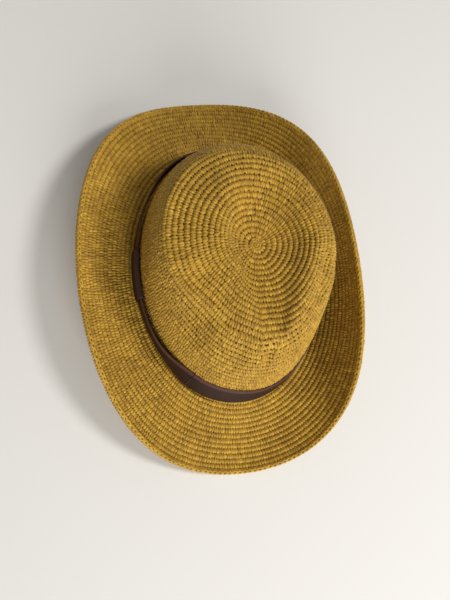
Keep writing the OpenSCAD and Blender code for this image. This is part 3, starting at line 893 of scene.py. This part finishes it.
# ---------------------------------------------------------------- inside the crown
def wall_point(t, z, depth):
    """A point inside the wall at height z, moved in by depth."""
    rz, e, rr = ridge_z(t), 2 / shoulder(t), ridge_out(t)
    a = np.arccos((z / rz) ** (1 / e))
    share = rr + (1 - rr) * np.sin(a) ** e
    b, n = base_point(t), base_out(t)
    return np.stack([TIP[0] + share * (b[..., 0] - TIP[0]) - depth * n[..., 0],
                     TIP[1] + share * (b[..., 1] - TIP[1]) - depth * n[..., 1],
                     z + 0 * share], -1)


def strip(name, t, low, high, near, thick, material, ribs=0.0):
    """A ribbon inside the wall. Ribs run up it, one for every second column."""
    heights = np.concatenate([np.linspace(low, high, 9), np.linspace(high, low, 9)])
    n = len(heights)
    rib = ribs * (np.arange(len(t)) % 2)
    verts = []
    for j, z in enumerate(heights):
        face = near + (thick if j < 9 else 0)
        swell = rib if j < 9 else 0 * rib
        round_off = 0.35 * thick * (1 if j in (0, 8, 9, 17) else 0) * (-1 if j < 9 else 1)
        verts.append(wall_point(t, np.full(len(t), z), face + swell + round_off))
    verts = np.stack(verts, 1).reshape(-1, 3)
    faces = []
    for i in range(len(t) - 1):
        for j in range(n):
            j2 = (j + 1) % n
            faces.append((i * n + j, i * n + j2, (i + 1) * n + j2, (i + 1) * n + j))
    faces.append(tuple(range(n))[::-1])
    faces.append(tuple((len(t) - 1) * n + j for j in range(n)))
    return make_mesh(name, verts, faces, material)


SWEAT_LOW, SWEAT_HIGH, SWEAT_NEAR, SWEAT_THICK = 1.0, 31.0, CROWN_THICK + 0.875, 0.8
TAB_LOW, TAB_HIGH = 8, 22
round_inside = np.radians(np.linspace(90.3, 449.7, 1100))
sweat = strip("sweat_ribbon", round_inside, SWEAT_LOW, SWEAT_HIGH, SWEAT_NEAR, SWEAT_THICK,
              ribbon, 0.12)
finish_piece(sweat, "hat", "ribbon", "sweatband")

DASHES, DASH_HALF, DASH_Z = 44, 2.5, 3.5    # how many stitches sew the ribbon in, and where
dashes = []
for i in range(DASHES):
    t0 = (i + 0.5) * 2 * math.pi / DASHES
    half = DASH_HALF / crown_cloth.pace(t0, CROWN_ROUNDS - 1)
    run = []
    for share, depth in ((-1, 0.6), (-0.85, 1.15), (0, 1.3), (0.85, 1.15), (1, 0.6)):
        t = np.array([t0 + share * half])
        run.append(wall_point(t, np.array([DASH_Z]), SWEAT_NEAR + depth)[0])
    dashes.append(run)
thread_run("ribbon_threads", dashes, 0.3, "hat", "thread", ["sweatband_stitches"])

tab_t = np.radians(np.linspace(83, 97, 30))
tab = strip("cloth_tab", tab_t, TAB_LOW, TAB_HIGH, SWEAT_NEAR + 1.3, 0.45, tape)
finish_piece(tab, "hat", "tab", "size_tab")

WIRE_R, WIRE_GAP, SLEEVE_HALF = 0.7, 0.3, 2.2


def rim_rod(name, first, last, radius, steps, slot, node_name):
    """A round rod along the middle of the rim, between two angles in degrees."""
    centre, out, up = rim_frame(np.radians(np.linspace(first, last, steps)))
    rod = Tubes()
    size = np.full((1, steps), radius)
    rod.add(centre[None], out[None], up[None], size, size, 12, np.array([0.5]))
    return finish_piece(rod.build(name, wire_metal), "hat", slot, node_name)


rim_rod("wire", 90 + WIRE_GAP, 450 - WIRE_GAP, WIRE_R, 500, "wire", "brim_wire")
rim_rod("wire_crimp", 90 - SLEEVE_HALF, 90 + SLEEVE_HALF, 1.2, 16, "sleeve", "wire_sleeve")

# ---------------------------------------------------------------- floor, light and camera
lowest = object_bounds()[0][2]
floor = bpy.data.meshes.new("floor")
FLOOR_HALF, FLOOR_GAP = 6.0, 0.0005
corners = [(x * FLOOR_HALF, y * FLOOR_HALF, 0) for x, y in ((-1, -1), (1, -1), (1, 1), (-1, 1))]
floor.from_pydata(corners, [], [(0, 1, 2, 3)])
floor_ob = bpy.data.objects.new("floor", floor)
floor_ob.location.z = lowest - FLOOR_GAP
bpy.context.scene.collection.objects.link(floor_ob)
paint, _, paint_p = new_material("pale_floor")
paint_p.inputs["Base Color"].default_value = (0.88, 0.875, 0.85, 1)
paint_p.inputs["Roughness"].default_value = 0.9
floor.materials.append(paint)

TILT, TURN, DISTANCE, ROLL = math.radians(21), math.radians(208.8), 0.4095, math.radians(-6.8)
target = np.array([-0.0119, -0.0264, 0.0208])
back = np.array([math.sin(TILT) * math.cos(TURN), math.sin(TILT) * math.sin(TURN), math.cos(TILT)])
place = target + back * DISTANCE
level = unit(np.cross(-back, np.array([0.0, 1.0, 0.0])))
rise = np.cross(level, -back)
right = math.cos(ROLL) * level + math.sin(ROLL) * rise
top = -math.sin(ROLL) * level + math.cos(ROLL) * rise


def looking(position, x_axis, y_axis, z_axis):
    """The placing of a camera or light with the given place and axes."""
    m = Matrix.Identity(4)
    for i in range(3):
        m[i][0], m[i][1], m[i][2], m[i][3] = x_axis[i], y_axis[i], z_axis[i], position[i]
    return m


camera = bpy.data.cameras.new("camera")
camera.lens, camera.sensor_width, camera.sensor_fit = 30.0, 36.0, "AUTO"
camera.clip_start, camera.clip_end = 0.01, 50
camera_ob = bpy.data.objects.new("camera", camera)
camera_ob.matrix_world = looking(place, right, top, back)
bpy.context.scene.collection.objects.link(camera_ob)
bpy.context.scene.camera = camera_ob


def area_light(name, direction, distance, width, power, colour):
    direction = unit(np.asarray(direction, float))
    light = bpy.data.lights.new(name, "AREA")
    light.shape, light.size, light.energy, light.color = "DISK", width, power, colour
    ob = bpy.data.objects.new(name, light)
    side = unit(np.cross(direction, np.array([0.1, 0.9, 0.2])))
    ob.matrix_world = looking(target + direction * distance, side, np.cross(direction, side),
                              direction)
    bpy.context.scene.collection.objects.link(ob)
    return ob


bpy.context.scene.view_settings.view_transform = "Standard"
area_light("key", 0.80 * right + 0.14 * top + 0.58 * back, 1.7, 0.5, 13.0, (1.0, 0.97, 0.93))
area_light("fill", 0.25 * right - 0.84 * top + 0.50 * back, 1.8, 1.1, 25.0, (1.0, 0.98, 0.95))
world = bpy.data.worlds.new("studio")
bpy.context.scene.world = world
world.use_nodes = True
world.node_tree.nodes["Background"].inputs["Color"].default_value = (1.0, 0.98, 0.95, 1)
world.node_tree.nodes["Background"].inputs["Strength"].default_value = 0.28
